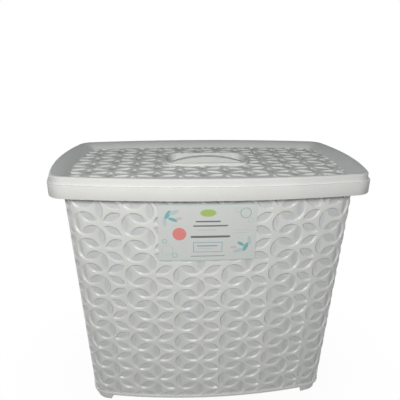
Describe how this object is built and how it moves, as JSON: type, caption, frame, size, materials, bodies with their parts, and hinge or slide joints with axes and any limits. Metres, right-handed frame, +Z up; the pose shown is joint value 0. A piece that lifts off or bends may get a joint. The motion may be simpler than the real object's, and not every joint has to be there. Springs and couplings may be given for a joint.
{
  "type": "detergent box",
  "caption": "Tapered storage box with bulging walls in overlapping-circle relief, four corner feet, a front label and a lift-off lid with a sunken pinch grip.",
  "frame": {"origin": "middle of the footprint, on the plane under the four feet", "axes": "+Z up, +X along the long side, the labelled front faces -Y"},
  "size_m": [0.27, 0.168, 0.2311],
  "materials": {
    "tub_plastic": "white moulded polypropylene with a fine satin relief",
    "lid_plastic": "white moulded polypropylene, smooth satin rim and relief panel",
    "printed_label": "thin printed self-adhesive label"
  },
  "bodies": {
    "box": {"tub": "tub_plastic", "label": "printed_label"},
    "lid_body": {"lid": "lid_plastic"}
  },
  "joints": [
    {"name": "lid_lift", "type": "slide", "parent": "box", "child": "lid_body", "axis": [0, 0, 1], "range_m": [0, 0.12]}
  ]
}
